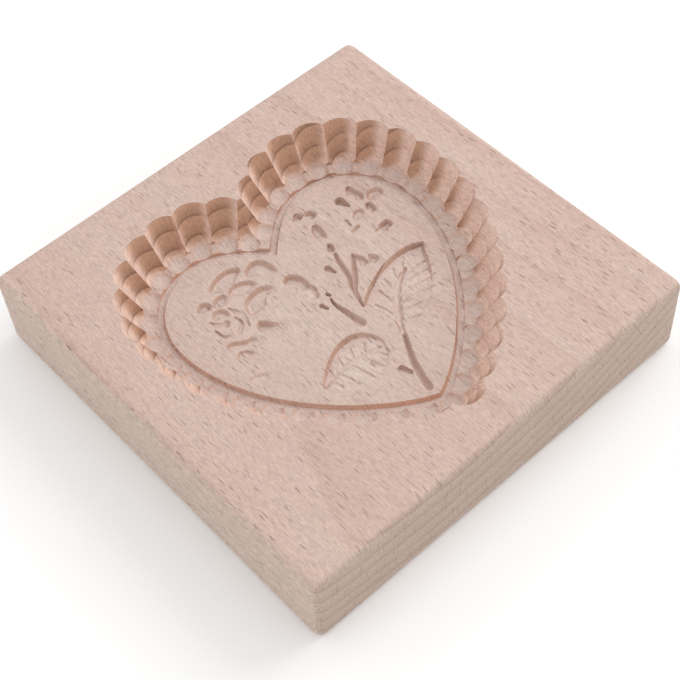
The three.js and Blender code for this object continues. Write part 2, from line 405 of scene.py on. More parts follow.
def trench_cutter():
    mesh = bmesh.new()
    outer = whole_outline(set_off(floor_heart, 0))
    inner = whole_outline(set_off(floor_heart, PANEL_DRAFT - TRENCH_WIDTH))
    inner_top = whole_outline(set_off(floor_heart, -TRENCH_WIDTH))
    _, outer_edges = outline_loop(mesh, outer, trench_z)
    _, inner_edges = outline_loop(mesh, inner, trench_z)
    ring = bmesh.ops.bridge_loops(mesh, edges=outer_edges + inner_edges)["faces"]
    raised = points_of(bmesh.ops.extrude_face_region(mesh, geom=ring))
    rise = panel_z - trench_z
    bmesh.ops.translate(mesh, vec=(0, 0, rise * TRENCH_REACH), verts=raised)
    draft = {place_key(*low): (high - low) * TRENCH_REACH * MM for low, high in zip(inner, inner_top)}
    for vert in raised:
        step = draft.get(place_key(vert.co.x / MM, vert.co.y / MM))
        if step is not None:
            vert.co.x += step[0]
            vert.co.y += step[1]
    bmesh.ops.recalc_face_normals(mesh, faces=mesh.faces[:])
    return mesh


print("trench, mm: width", TRENCH_WIDTH, "below the panel", round(TRENCH_DEPTH - PANEL_DEPTH, 2))

# %% [markdown]
# The pocket is the hollow above the panel. It is made too deep, and the relief later trims its floor.

# %% Pocket cutter
LAND_WIDTH = 2.65
POCKET_SINK = 3 * MM


def pocket_cutter():
    mesh = bmesh.new()
    verts, _ = outline_loop(mesh, whole_outline(set_off(floor_heart, LAND_WIDTH)), panel_z - POCKET_SINK)
    face = mesh.faces.new(verts)
    raised = points_of(bmesh.ops.extrude_face_region(mesh, geom=[face]))
    bmesh.ops.translate(mesh, vec=(0, 0, top_z + OVERCUT - panel_z + POCKET_SINK), verts=raised)
    bmesh.ops.recalc_face_normals(mesh, faces=mesh.faces[:])
    return mesh


print("pocket beyond the floor heart, mm:", LAND_WIDTH)

# %% [markdown]
# ## The rose spray
#
# The spray is a shallow relief, sunk into the panel so that it stands up on the biscuit. A carver makes
# one with a few gouges, and here too a few kinds of cut make all of it: blades, scoops, grooves and pits.
# Each is written as a few points along the cut, and a smooth line goes through them.

# %% A smooth line through a few points
POINTS_PER_STEP = 8


def smooth_line(points):
    points = np.array(points, dtype=float)
    padded = np.vstack([2 * points[0] - points[1], points, 2 * points[-1] - points[-2]])
    share = np.linspace(0, 1, POINTS_PER_STEP, endpoint=False)[:, None]
    parts = []
    for a, b, c, d in zip(padded, padded[1:], padded[2:], padded[3:]):
        parts.append(0.5 * (
            2 * b + (c - a) * share
            + (2 * a - 5 * b + 4 * c - d) * share**2
            + (3 * b - a - 3 * c + d) * share**3))
    return np.vstack([*parts, points[-1:]])


print("points on a line through three:", len(smooth_line([(0, 0), (1, 1), (2, 0)])))

# %% [markdown]
# The depth of a cut at some place depends on how far the place is from the cut's line and on which side,
# on how far along the line it lies, and for a leaf on whether it is inside the outline. A smooth step
# turns such a number into a wall or a floor without a kink.

# %% Where a place lies beside a line
FAR_AWAY = 1e9
TINY = 1e-12


def smooth_step(value):
    value = np.clip(value, 0, 1)
    return value * value * (3 - 2 * value)


# For each place: its distance to the line, the same with a minus sign where the place lies left of the
# line, and how far along the line its nearest point is, from 0 to 1.
def nearest_on_line(places, line):
    best = np.full(len(places), FAR_AWAY)
    signed = np.full(len(places), FAR_AWAY)
    along = np.zeros(len(places))
    count = len(line) - 1
    for i, (a, b) in enumerate(zip(line, line[1:])):
        step = b - a
        offset = places - a
        share = np.clip(offset @ step / (step @ step), 0, 1)
        gap = offset - share[:, None] * step
        distance = np.hypot(gap[:, 0], gap[:, 1])
        nearer = distance < best
        side = np.sign(step[1] * offset[:, 0] - step[0] * offset[:, 1])
        best = np.where(nearer, distance, best)
        signed = np.where(nearer, distance * side, signed)
        along = np.where(nearer, (i + share) / count, along)
    return best, signed, along


# A place is inside if a line from it to the right crosses the outline an odd number of times. TINY keeps
# a level side of the outline from causing a division by zero.
def within(places, outline):
    inside = np.zeros(len(places), dtype=bool)
    for a, b in zip(outline, np.roll(outline, -1, axis=0)):
        crossing = (a[1] > places[:, 1]) != (b[1] > places[:, 1])
        reach = a[0] + (places[:, 1] - a[1]) * (b[0] - a[0]) / (b[1] - a[1] + TINY)
        inside ^= crossing & (places[:, 0] < reach)
    return inside

# %% [markdown]
# Each kind of cut gives three things: a function that tells its depth at any place, the line it
# follows, and how far from that line it reaches. A blade is a leaf: an outline whose floor is deepest
# along the far edge and climbs towards the near one.

# %% Blades
WALL_RUN = 0.8
NEAR_DEPTH = 0.3
BLADE_MARGIN = 0.1
SIDE_POINTS = 30


def blade(curves, far_edge, reach, depth):
    outline = np.vstack([bezier(*curve, SIDE_POINTS)[:-1] for curve in curves])
    closed = np.vstack([outline, outline[:1]])
    far_edge = smooth_line(far_edge)

    def cut(places):
        share = np.clip(nearest_on_line(places, far_edge)[0] / reach, 0, 1)
        distance, _, _ = nearest_on_line(places, closed)
        walls = smooth_step(np.where(within(places, outline), distance, 0) / WALL_RUN)
        return (depth + (NEAR_DEPTH - depth) * share) * walls

    return cut, outline, BLADE_MARGIN

# %% [markdown]
# A scoop is a petal: a steep far wall and a floor that climbs back to the panel's face. It lies to the
# right of its line and fades out at both ends.

# %% Scoops
def scoop(points, depth, reach, fade=(0.14, 0.2), run=0.9):
    line = smooth_line(points)

    def cut(places):
        distance, signed, along = nearest_on_line(places, line)
        ends = smooth_step(along / fade[0]) * smooth_step((1 - along) / fade[1])
        inside = np.where(signed > 0, distance, 0)
        wall = smooth_step(inside / run)
        floor = 1 - smooth_step((inside - run) / (reach - run))
        return depth * ends * wall * floor

    return cut, line, reach

# %% [markdown]
# A groove has a round bottom, and a pit is a short, steep groove with a nearly flat one. Stems and veins
# are grooves, and most seeds are pits.

# %% Grooves and pits
PIT_ROUNDNESS = 4


def groove(points, width, depth, roundness=2):
    line = smooth_line(points)
    steps = np.linspace(0, 1, len(width))

    def cut(places):
        distance, _, along = nearest_on_line(places, line)
        share = np.clip(2 * distance / np.interp(along, steps, width), 0, 1)
        return depth * (1 - share**roundness)

    return cut, line, max(width)


def pit(points, width, depth=1.0):
    return groove(points, width, depth, roundness=PIT_ROUNDNESS)

# %% [markdown]
# Where two cuts overlap, the deeper one counts. A cut is asked only for the places within its reach,
# which keeps the carving quick.

# %% All cuts together
def carved_depth(places, cuts):
    depth = np.zeros(len(places))
    for cut, line, reach in cuts:
        low = line.min(axis=0) - reach
        high = line.max(axis=0) + reach
        near = np.all((places > low) & (places < high), axis=1)
        if near.any():
            depth[near] = np.maximum(depth[near], cut(places[near]))
    return depth

# %% [markdown]
# The large leaf grows from the main stem near the heart's tip, and the small leaf lies left of it,
# below a twig. Two thinner twigs climb from the large leaf's corner to the buds.

# %% Leaves and stems
leaf_foot, leaf_corner, leaf_tip = (5, -15.4), (4, -4), (25.2, -0.4)
small_tip, small_end = (-16, -13.5), (1.2, -13)
leaves_and_stems = [
    blade([
        (leaf_foot, (6, -11), (5.5, -6), leaf_corner),
        (leaf_corner, (8, 0), (20, 4.2), leaf_tip),
        (leaf_tip, (21.5, -4.5), (20.5, -14.5), leaf_foot),
    ], far_edge=[(6, -2), (11, 0.6), (18, 1.6), leaf_tip], reach=11, depth=1.4),
    blade([
        (small_tip, (-11, -8), (-1, -3.5), small_end),
        (small_end, (0, -22.5), (-14.5, -22), small_tip),
    ], far_edge=[(-11.5, -9), (-8.4, -7.4), (-4.6, -7.5)], reach=10, depth=1.5),
    groove(
        [(-0.4, -28.3), (0.3, -25.5), (1.5, -22), (3, -19), leaf_foot],
        (1.9, 1.7, 1.5, 1.2), 1.1, 1.2),
    groove([(0.3, 2), (0, 0), (0.3, -3), (0.8, -7.2)], (0.5, 0.9, 1.4, 1.9), 1.1, 1.4),
    groove(
        [(9.1, 10.2), (8.4, 8.6), (7.7, 5.9), (7, 3.6), (5.6, 1), leaf_corner],
        (1, 1.3, 1.3, 1.2, 0.8), 0.9, 1.2),
    groove(
        [(4.8, -2.2), (5.6, 0.1), (7.6, 2.2), (9.4, 4.6), (11.6, 7.4)],
        (0.6, 1, 1.2, 1.3, 1), 0.8, 1.2),
]
print("leaves and stems:", len(leaves_and_stems))

# %% [markdown]
# A leaf's midrib is one groove, and finer grooves branch from it. Each starts a given share of the way
# along the midrib and bends a little towards its tip. Veins are cut into the floors of the leaves, so
# their depth is added to the leaf's.

# %% Veins
VEIN_BEND = 0.12
VEIN_TAPER = 0.6
VEIN_ROUNDNESS = 1.5


def side_veins(rib, ends, width, depth):
    rib = np.array(rib, dtype=float)
    made = []
    for share, end in ends:
        step = share * (len(rib) - 1)
        start = rib[int(step)] + (step - int(step)) * (rib[int(step) + 1] - rib[int(step)])
        middle = 0.5 * (start + np.array(end)) + VEIN_BEND * (rib[-1] - rib[0]) / len(ends)
        made.append(groove([start, middle, end], (width, VEIN_TAPER * width), depth, VEIN_ROUNDNESS))
    return made


large_rib = [(5.2, -14.5), (8, -10.5), (10.5, -7.4), (14, -4.2), (17.6, -2.4)]
small_rib = [(-15.5, -14), (-12, -13), (-8, -12.6), (-4, -13), (-0.6, -13.9)]
veins = [
    groove(large_rib, (1.4, 2.2, 2.2, 1.9, 1), 0.7, 1.3),
    *side_veins(large_rib, [
        (0.12, (11, -14)), (0.26, (15.4, -12.6)), (0.4, (18.4, -10.6)), (0.54, (20.6, -8.4)),
        (0.68, (22, -6.2)), (0.82, (23, -4)), (0.2, (6.4, -5)), (0.36, (9.6, -2.6)),
        (0.52, (12.6, -1.2)), (0.68, (15.8, -0.4)), (0.84, (18.8, -0.4)),
    ], 0.9, 0.28),
    groove(small_rib, (0.5, 1, 1.1, 0.9), 0.35, 1.5),
    *side_veins(small_rib, [
        (0.15, (-12.6, -16.2)), (0.32, (-9.8, -18)), (0.5, (-6.6, -18.8)), (0.68, (-3.4, -18.2)),
        (0.84, (-1, -16.6)), (0.22, (-11.6, -10.6)), (0.4, (-8.2, -9.4)), (0.58, (-4.8, -9.4)),
        (0.76, (-2, -10.6)),
    ], 0.8, 0.26),
]
print("veins:", len(veins))

# %% [markdown]
# Seeds are short drops beside the stems and among the buds, pressed with the tip of the gouge.

# %% Seeds
seeds = [
    pit([(5.3, 8.4), (5.8, 6.6)], (1.7, 0.6)),
    pit([(0.6, 3.4), (0.8, 2.9)], (0.8, 0.8)),
    pit([(-2.3, 1.9), (-1.9, 0.6)], (1.1, 0.7)),
    pit([(-1.3, -21.1), (-0.6, -23.1)], (1.3, 1.1)),
    pit([(19.8, 20.6), (20.4, 18.4)], (2.4, 0.7), 1.5),
    groove([(17.1, 15.6), (16.9, 13.8)], (0.7, 0.5), 0.5),
    groove([(16.3, 12.2), (17.9, 12.6)], (0.9, 0.9), 0.6),
]
print("seeds:", len(seeds))

# %% [markdown]
# The rose is seen from above. Its petals are scoops that open towards the near side, larger at the back
# than in front, and three thin grooves curl round its heart.

# %% Rose
rose = [
    scoop(
        [(-17.6, 21), (-16.2, 22.4), (-14.1, 23.3), (-12.1, 23.7), (-10, 23.5), (-8.2, 22.4), (-7.4, 21)],
        1.2, 5),
    scoop(
        [(-9.4, 18.8), (-7.6, 20.7), (-5.7, 21.4), (-3.9, 21), (-2.8, 19.4), (-2.3, 17.2), (-2.4, 14)],
        1.2, 6),
    scoop(
        [(-4.8, 11.6), (-3.6, 12.9), (-2.1, 13.3), (-0.7, 12.2), (0.1, 10.3), (0, 8), (-0.8, 5)],
        1.3, 5),
    scoop([(-0.2, 8.8), (0.3, 6.3), (-0.9, 3.4)], 0.9, 3.5),
    scoop(
        [(-22.6, 18.4), (-21.9, 19.5), (-20.5, 20.3), (-19.1, 19.8), (-18.7, 18.3), (-19.4, 16.6)],
        1.1, 4.5),
    scoop([(-19.2, 17.2), (-18.4, 18.5), (-17.2, 19.2), (-15.8, 19.2), (-13.9, 18.1)], 1, 3.8),
    scoop(
        [(-15.2, 17.6), (-14, 18.9), (-12.1, 19.4), (-10.2, 18.9), (-8.3, 17.5), (-7.4, 15)],
        1, 4.5),
    scoop(
        [(-14.6, 8.6), (-14.8, 11), (-14.1, 13.3), (-12.5, 14.7), (-10.1, 15.3), (-7.5, 14.9), (-5.8, 13),
         (-5.8, 9.6)],
        1.2, 7, fade=(0.2, 0.3), run=1.2),
    scoop(
        [(-16.3, 5.6), (-15.6, 7.4), (-14.4, 8.2), (-13.2, 7.4), (-12.2, 6), (-9.4, 3.4)],
        1.3, 5.5, fade=(0.1, 0.3)),
    scoop([(-21.4, 14.4), (-20.6, 16), (-19.4, 16.8), (-18, 16.2), (-17.1, 14.8), (-17.4, 12.4)], 0.9, 3),
    scoop([(-20.8, 11.6), (-20, 13.2), (-19, 13.5), (-18, 12)], 0.8, 2.2),
    scoop([(-24.2, 7.8), (-22.2, 8.2), (-20.6, 7.3), (-19, 6.4), (-17, 6.4)], 0.9, 3.8),
    scoop([(-23.8, 4.2), (-22.4, 5.2), (-20.6, 4.8), (-19.4, 2.2)], 0.9, 4),
    scoop([(-25.2, -1.2), (-23.2, -1.8), (-21, -2.8)], 0.5, 3),
    scoop([(-12.6, 0.8), (-9.4, 3.4), (-5.8, 1)], 0.4, 5, run=1.6),
    scoop([(-7.4, 3.8), (-4.4, 6), (-2, 2.6)], 0.4, 5, run=1.6),
    groove(
        [(-17.2, 12.4), (-17, 10.6), (-18.4, 9.1), (-20.2, 8.9), (-22, 10), (-22.4, 12.4)],
        (0.4, 1.6, 0.4), 0.5, 1.3),
    groove([(-21.9, 14.9), (-20.7, 12.9), (-19, 12)], (0.4, 1.5, 0.4), 0.45, 1.3),
    groove([(-16.6, 15), (-15.6, 11.8), (-16.3, 8.6)], (0.4, 1.5, 0.4), 0.45, 1.3),
]
print("petals and curls of the rose:", len(rose))

# %% [markdown]
# The buds at the ends of the twigs are small scoops in groups, each group a flower half open.

# %% Buds
buds = [
    scoop([(8.6, 23.6), (9.6, 24.9), (11, 24.8), (11.7, 23.2)], 1.2, 2.4, fade=(0.08, 0.08)),
    scoop([(11.2, 22.8), (12, 23.8), (13.6, 23.4), (14.2, 21.2)], 1.2, 2.6, fade=(0.08, 0.12)),
    scoop([(8.4, 16.2), (9.6, 18.8), (11, 19.8), (12, 19), (11.9, 17), (11.2, 13.8)], 1.2, 4.4),
    scoop([(21.7, 20.4), (23.1, 22.8), (24.4, 22.7), (24.8, 20.8), (25.1, 18.8), (24, 16.6)], 1.1, 3.4),
    scoop([(24, 16.8), (26, 18.7), (27.8, 18.7), (29, 17.7), (29.2, 15.2)], 1.1, 3),
    scoop([(22.1, 15.2), (23.5, 16.5), (24.7, 15.8), (24.4, 12.4)], 1.1, 3.6),
    scoop([(18, 15), (20.2, 16.7), (22.6, 15.6)], 0.8, 3),
    scoop([(16.4, 8.8), (19.9, 9.5), (22.2, 10.1), (24, 9.7), (24.4, 7.4)], 1.2, 3.4, fade=(0.5, 0.15)),
    scoop([(8, 11.6), (9.4, 13.7), (10.7, 13), (10, 10.4)], 1.2, 2.6),
    scoop([(10.6, 6.4), (12, 7.6), (13, 5.8), (13.2, 3)], 0.9, 3),
    scoop([(12.4, 3.4), (14.2, 5.4), (16, 3.2)], 1, 2.6),
]
cuts = leaves_and_stems + seeds + rose + buds
print("cuts in the spray:", len(cuts), "and veins:", len(veins))

# %% [markdown]
# ## The panel's relief as a mesh
#
# A coarse grid covers the heart. Where the depth changes within a face, the face is subdivided, three
# times over, so the steep walls of the cuts get fine faces and the flat panel keeps large ones. A face
# needs it if the depth at its middle, or half way along a side, isn't what its corners suggest.

# %% Where the relief needs finer faces
SMALLEST_BEND = 0.015


def depth_at(points):
    places = np.array([(point.x, point.y) for point in points]) / MM
    return carved_depth(places, cuts) + carved_depth(places, veins)


def edges_to_split(mesh):
    faces = list(mesh.faces)
    corner_depth = dict(zip(mesh.verts, depth_at([vert.co for vert in mesh.verts])))
    centres = depth_at([face.calc_center_median() for face in faces])
    edge_depth = dict(zip(
        mesh.edges, depth_at([(edge.verts[0].co + edge.verts[1].co) / 2 for edge in mesh.edges])))
    busy = set()
    for face, centre in zip(faces, centres):
        corners = [corner_depth[vert] for vert in face.verts]
        bend = abs(centre - sum(corners) / len(corners))
        for edge in face.edges:
            a, b = edge.verts
            bend = max(bend, abs(edge_depth[edge] - (corner_depth[a] + corner_depth[b]) / 2))
        if bend > SMALLEST_BEND:
            busy.update(face.edges)
    return list(busy)

# %% [markdown]
# Once the grid is fine enough, every vertex sinks by its depth. The sheet's edge is drawn up and closed,
# which makes it a cutter with a carved underside, and the pocket's outline trims it.

# %% Relief cutter
GRID_STEP = 1.2 * MM
GRID_HALF_SIDE = 40 * MM
REFINEMENTS = 3


def relief_cutter():
    mesh = bmesh.new()
    segments = round(2 * GRID_HALF_SIDE / GRID_STEP)
    bmesh.ops.create_grid(mesh, x_segments=segments, y_segments=segments, size=GRID_HALF_SIDE)
    for _ in range(REFINEMENTS):
        bmesh.ops.subdivide_edges(mesh, edges=edges_to_split(mesh), cuts=1, use_grid_fill=True)
    for vert, depth in zip(list(mesh.verts), depth_at([vert.co for vert in mesh.verts])):
        vert.co.z = panel_z - depth * MM
    rim = [edge for edge in mesh.edges if edge.is_boundary]
    for vert in points_of(bmesh.ops.extrude_edge_only(mesh, edges=rim)):
        vert.co.z = top_z + 2 * OVERCUT
    top_edges = [edge for edge in mesh.edges if edge.is_boundary]
    bmesh.ops.edgeloop_fill(mesh, edges=top_edges)
    bmesh.ops.recalc_face_normals(mesh, faces=mesh.faces[:])
    print("relief faces:", len(mesh.faces))
    return mesh

# %% [markdown]
# ## Carving
#
# A Boolean modifier takes each cutter out of the board. The cutters' bodies are only tools, so each is
# deleted once its cut is applied. The relief first gives the pocket its floor, and then the pocket, the
# trench and the flutes are cut in that order.

# %% Boolean carving
def combine(target, cutter, operation):
    modifier = target.modifiers.new("combine", "BOOLEAN")
    modifier.operation = operation
    modifier.solver = "MANIFOLD"
    modifier.object = cutter
    graph = bpy.context.evaluated_depsgraph_get()
    result = bpy.data.meshes.new_from_object(target.evaluated_get(graph))
    target.modifiers.clear()
    old = target.data
    target.data = result
    bpy.data.meshes.remove(old)
    bpy.data.objects.remove(cutter)


carved = as_object("carved_mould", rounded_board())
pocket = as_object("pocket", pocket_cutter())
combine(pocket, as_object("relief", relief_cutter()), "INTERSECT")
combine(carved, pocket, "DIFFERENCE")
combine(carved, as_object("trench", trench_cutter()), "DIFFERENCE")
for cutter in flute_cutters():
    combine(carved, as_object("flute", cutter), "DIFFERENCE")
print("carved faces:", len(carved.data.polygons))

# %% [markdown]
# ## Ridges
#
# The walls are facets of curved cuts and should look smooth, but the ridges between two flutes are crisp.
# Faces are shaded smooth, and an edge is kept sharp where its two faces meet at more than a set angle.
# Points that the cuts left almost in one place are merged first.

# %% Sharp ridges and smooth walls
RIDGE_ANGLE = math.radians(38)
POINT_MERGE = 0.002 * MM


def shade_by_angle(thing):
    mesh = bmesh.new()
    mesh.from_mesh(thing.data)
    bmesh.ops.remove_doubles(mesh, verts=mesh.verts, dist=POINT_MERGE)
    for face in mesh.faces:
        face.smooth = True
    for edge in mesh.edges:
        edge.smooth = len(edge.link_faces) == 2 and edge.calc_face_angle() < RIDGE_ANGLE
    mesh.to_mesh(thing.data)
    loose = sum(1 for edge in mesh.edges if len(edge.link_faces) != 2)
    triangles = sum(len(face.verts) - 2 for face in mesh.faces)
    mesh.free()
    print("triangles:", triangles, "open edges:", loose)


shade_by_angle(carved)

# %% [markdown]
# The feet of the flutes lie as low as the spray, but they take other tints, with painted light and shade
# of their own, so the material has to tell the two apart. A number on each point of the mesh does that:
# 1 on the panel, just inside its edge, and 0 everywhere else.

# %% A mark on the panel
PANEL_MARK = "panel"
PANEL_EDGE = 0.1


def mark_panel(thing):
    points = np.empty(3 * len(thing.data.vertices))
    thing.data.vertices.foreach_get("co", points)
    outline = whole_outline(set_off(floor_heart, -TRENCH_WIDTH - PANEL_EDGE))
    marked = within(points.reshape(-1, 3)[:, :2] / MM, outline)
    mark = thing.data.attributes.new(PANEL_MARK, "FLOAT", "POINT")
    mark.data.foreach_set("value", marked.astype(float))
    print("points marked as panel:", marked.sum())


mark_panel(carved)

# %% [markdown]
# ## Beech
#
# Beech is a plain pale wood with three marks. Growth rings are cylinders round the middle of the log,
# which lay above this board. Rays are thin upright sheets that point at the middle of the log: they
# show as short dark dashes on the top, as fine upright lines on the end grain, and as soft flecks on
# the sides. Pores are too fine to see one by one and give a faint streak along the grain.
#
# All three are made in the log's own directions, across, along and outwards, so each face of the board
# and each carved wall cuts through the same wood and shows its right side of it.

# %% Small helpers for nodes
def node(tree, kind, inputs=None, **settings):
    made = tree.nodes.new(kind)
    for name, value in settings.items():
        setattr(made, name, value)
    for name, value in (inputs or {}).items():
        if isinstance(value, bpy.types.NodeSocket):
            tree.links.new(value, made.inputs[name])
        else:
            made.inputs[name].default_value = value
    return made


def calculate(tree, operation, *values, clamp=False):
    return node(
        tree, "ShaderNodeMath", dict(enumerate(values)), operation=operation, use_clamp=clamp).outputs[0]


def product(tree, first, *others):
    for value in others:
        first = calculate(tree, "MULTIPLY", first, value)
    return first


def size_of(tree, value):
    return calculate(tree, "ABSOLUTE", value)


def vector(tree, operation, *values):
    return node(
        tree, "ShaderNodeVectorMath", dict(enumerate(values)), operation=operation).outputs["Vector"]


def fade_between(tree, value, start, end, low=0.0, high=1.0):
    made = node(tree, "ShaderNodeMapRange", {
        "Value": value, "From Min": start, "From Max": end, "To Min": low, "To Max": high,
    }, interpolation_type="SMOOTHSTEP")
    return made.outputs["Result"]


def mix_colours(tree, factor, first, second, blend_type="MIX"):
    made = node(tree, "ShaderNodeMix", data_type="RGBA", blend_type=blend_type)
    for name, value in (("Factor_Float", factor), ("A_Color", first), ("B_Color", second)):
        socket = next(entry for entry in made.inputs if entry.identifier == name)
        if isinstance(value, bpy.types.NodeSocket):
            tree.links.new(value, socket)
        else:
            socket.default_value = value
    return next(entry for entry in made.outputs if entry.identifier == "Result_Color")

# %% [markdown]
# Wood needs a few things over and over: noise drawn out along the grain, places that drift a little,
# a colour made lighter or darker, and a node group for each pattern.

# %% Helpers for patterns
HALF = (0.5, 0.5, 0.5)
FLOAT = "NodeSocketFloat"
VECTOR = "NodeSocketVector"


def noise(tree, place, stretch, detail, output="Fac"):
    stretched = vector(tree, "MULTIPLY", place, stretch)
    made = node(tree, "ShaderNodeTexNoise", {"Vector": stretched, "Scale": 1.0, "Detail": detail})
    return made.outputs[output]


def drifted(tree, place, stretch, detail, amount):
    drift = vector(tree, "SUBTRACT", noise(tree, place, stretch, detail, "Color"), HALF)
    return vector(tree, "ADD", place, vector(tree, "MULTIPLY", drift, amount))


def brightened(tree, colour, brightness):
    grey = node(tree, "ShaderNodeCombineColor", {0: brightness, 1: brightness, 2: brightness}).outputs[0]
    return mix_colours(tree, 1.0, colour, grey, "MULTIPLY")


def start_group(name, inputs, outputs):
    tree = bpy.data.node_groups.new(name, "ShaderNodeTree")
    for socket_name, kind, value in inputs:
        socket = tree.interface.new_socket(name=socket_name, in_out="INPUT", socket_type=kind)
        if value is not None:
            socket.default_value = value
    for socket_name, kind in outputs:
        tree.interface.new_socket(name=socket_name, in_out="OUTPUT", socket_type=kind)
    return tree, tree.nodes.new("NodeGroupInput").outputs, tree.nodes.new("NodeGroupOutput")

# %% [markdown]
# ### Directions in the log
#
# The end grain shows the rings as arcs of one circle after another, with their middle above the left
# half of the board. That middle gives every place in the wood its distance outwards and its distance
# round. The log tapers a little along its length, which closes the ring lines into long arches on the
# top face. The group gives its places in millimetres, and the rings and the rays are measured in them.

# %% Log directions
LOG_MIDDLE_X = -18.0
LOG_MIDDLE_Z = 150.0
LOG_TAPER = 0.0233
LOG_DRIFT = (3.0, 0.0, 3.0)
LOG_DRIFT_STRETCH = (0.04, 0.015, 0.04)


def log_directions():
    tree, _, out = start_group("log_directions", [], [("Across, along, outwards", VECTOR)])
    place = node(tree, "ShaderNodeTexCoord").outputs["Object"]
    in_mm = vector(tree, "SCALE", place)
    in_mm.node.inputs["Scale"].default_value = 1 / MM
    wandered = drifted(tree, in_mm, LOG_DRIFT_STRETCH, detail=2.0, amount=LOG_DRIFT)
    axes = node(tree, "ShaderNodeSeparateXYZ", {0: wandered}).outputs
    sideways = calculate(tree, "SUBTRACT", axes["X"], LOG_MIDDLE_X)
    below = calculate(tree, "SUBTRACT", LOG_MIDDLE_Z, axes["Z"])
    squares = calculate(tree, "ADD", product(tree, sideways, sideways), product(tree, below, below))
    distance = calculate(tree, "SQRT", squares)
    across = product(tree, calculate(tree, "ARCTAN2", sideways, below), LOG_MIDDLE_Z)
    outwards = calculate(tree, "MULTIPLY_ADD", axes["Y"], LOG_TAPER, distance)
    joined = node(tree, "ShaderNodeCombineXYZ", {"X": across, "Y": axes["Y"], "Z": outwards}).outputs[0]
    tree.links.new(joined, out.inputs[0])
    return tree


log_group = log_directions()
print("log direction nodes:", len(log_group.nodes))

# %% [markdown]
# ### Rings
#
# Each year's wood starts pale and open and ends darker and denser, and then stops at a sharp line. A
# sawtooth over the distance outwards makes that: a slow darkening and a sudden start. Noise along the
# same distance makes some years wider than others.

# %% Rings
RING_SPACING = 3.9
FIRST_RING = 130.5
RING_UNEVENNESS = 2.0
RING_NOISE_STRETCH = 0.16
LATE_WOOD_CURVE = 1.6
LINE_RISE = (0.82, 0.97)
LINE_FALL = (1.0, 0.985)


def growth_rings():
    tree, given, out = start_group(
        "growth_rings",
        [("Place", VECTOR, None), ("Spacing", FLOAT, RING_SPACING), ("First ring", FLOAT, FIRST_RING)],
        [("Lateness", FLOAT), ("Line", FLOAT)])
    outwards = node(tree, "ShaderNodeSeparateXYZ", {0: given["Place"]}).outputs["Z"]
    uneven = node(tree, "ShaderNodeTexNoise", {
        "W": product(tree, outwards, RING_NOISE_STRETCH), "Scale": 1.0, "Detail": 1.0,
    }, noise_dimensions="1D").outputs["Fac"]
    shift = product(tree, calculate(tree, "SUBTRACT", uneven, 0.5), RING_UNEVENNESS)
    past_first = calculate(tree, "SUBTRACT", outwards, given["First ring"])
    counted = calculate(tree, "DIVIDE", calculate(tree, "ADD", past_first, shift), given["Spacing"])
    lateness = calculate(tree, "FRACT", counted)
    tree.links.new(calculate(tree, "POWER", lateness, LATE_WOOD_CURVE), out.inputs["Lateness"])
    rising = fade_between(tree, lateness, *LINE_RISE)
    falling = fade_between(tree, lateness, *LINE_FALL)
    tree.links.new(product(tree, rising, falling), out.inputs["Line"])
    return tree


ring_group = growth_rings()
print("ring nodes:", len(ring_group.nodes))

# %% [markdown]
# ### Rays
#
# A ray is a thin sheet: a fraction of a millimetre across, a few millimetres along the grain, and tall. A
# Voronoi pattern stretched to those sizes puts one drawn-out spot in each cell, and a random number for
# each cell leaves some of them out and makes some of the rest darker than others.

# %% Rays
RAY_DRIFT = (0.5, 0.0, 0.0)
RAY_DRIFT_STRETCH = (0.3, 0.25, 0.1)
RAY_CORE = 0.7
FAINTEST_RAY = 0.4


def ray_sheets():
    tree, given, out = start_group(
        "ray_sheets", [
            ("Place", VECTOR, None),
            ("Cell", VECTOR, None),
            ("Share", FLOAT, 0.3),
            ("Thickness", FLOAT, 0.3),
        ], [("Mask", FLOAT)])
    bent = drifted(tree, given["Place"], RAY_DRIFT_STRETCH, detail=1.0, amount=RAY_DRIFT)
    cells = node(tree, "ShaderNodeTexVoronoi", {
        "Vector": vector(tree, "DIVIDE", bent, given["Cell"]), "Scale": 1.0}, voronoi_dimensions="3D")
    chance = node(tree, "ShaderNodeSeparateColor", {0: cells.outputs["Color"]}).outputs
    kept = calculate(tree, "LESS_THAN", chance["Red"], given["Share"])
    core = product(tree, given["Thickness"], RAY_CORE)
    spot = fade_between(tree, cells.outputs["Distance"], given["Thickness"], core)
    strength = calculate(tree, "MULTIPLY_ADD", chance["Green"], 1 - FAINTEST_RAY, FAINTEST_RAY)
    tree.links.new(product(tree, spot, kept, strength), out.inputs["Mask"])
    return tree


ray_group = ray_sheets()
print("ray nodes:", len(ray_group.nodes))

# %% [markdown]
# ### Sanded wood and carved wood
#
# The board was sanded outside and left as cut inside, so each of the two has tints of its own, and a tint
# multiplies the wood's colour. Inside, the tints also hold painted light and shade. Outside, the two ends
# are greyer than the sides.

# %% Sanded faces
END_GRAIN_FACING = (0.30, 0.85)
SIDE_GRAIN_FACING = (0.50, 0.95)
SANDED_SIDE = (0.99, 1.06, 1.05, 1)
SANDED_END = (0.80, 0.83, 0.81, 1)


def tinted(tree, factor, colour, tint):
    return mix_colours(tree, factor, colour, mix_colours(tree, 1.0, colour, tint, "MULTIPLY"))


def sanded_wood(tree, wood, facing, end_grain):
    side_grain = fade_between(tree, size_of(tree, facing["X"]), *SIDE_GRAIN_FACING)
    return tinted(tree, end_grain, tinted(tree, side_grain, wood, SANDED_SIDE), SANDED_END)
